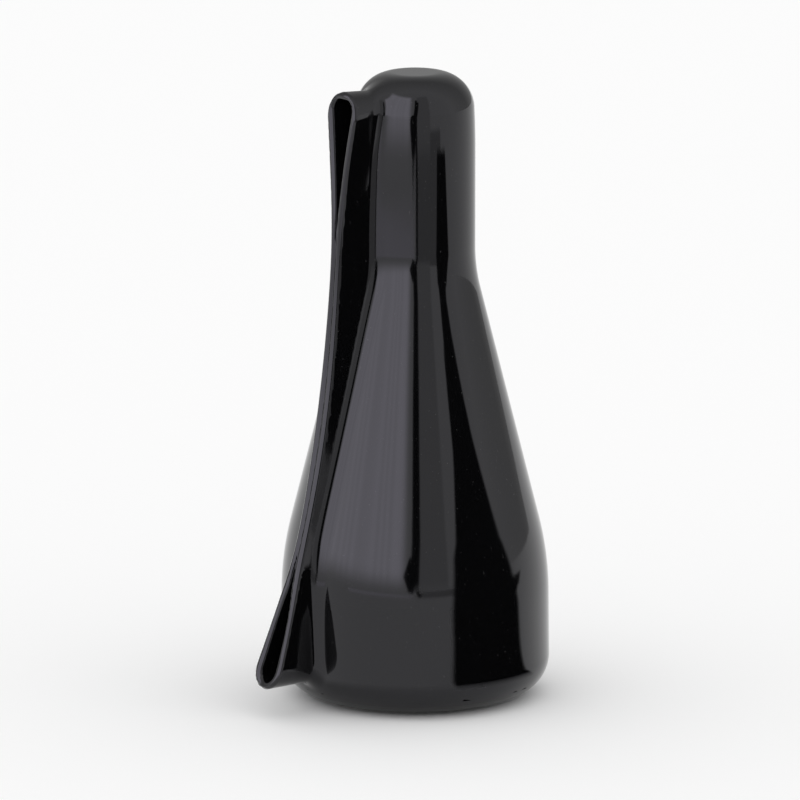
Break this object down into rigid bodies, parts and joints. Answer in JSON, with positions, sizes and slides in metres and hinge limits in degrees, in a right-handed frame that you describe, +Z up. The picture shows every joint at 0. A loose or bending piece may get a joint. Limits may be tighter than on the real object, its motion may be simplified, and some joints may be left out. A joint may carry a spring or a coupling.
{
  "type": "clay shaper tool",
  "caption": "Glossy black clay shaper: a hollow domed grip flaring to a round foot, with a pinched lip down one side that opens in two mouths.",
  "frame": {"origin": "on the grip's axis, on the table under the foot pad", "axes": "+Z up along the grip's axis; the lip stands out along -X; the XZ plane is the plane of symmetry of the outside"},
  "size_m": [0.0932, 0.0768, 0.18],
  "materials": {
    "gloss_skin": "high gloss",
    "gloss_cap": "high gloss",
    "pad_rubber": "matt",
    "screw_steel": "satin"
  },
  "bodies": {
    "root": {"body_shell": "gloss_skin", "base_cap": "gloss_cap", "foot_pad": "pad_rubber", "base_screw_1": "screw_steel", "base_screw_2": "screw_steel", "base_screw_3": "screw_steel"}
  },
  "joints": []
}
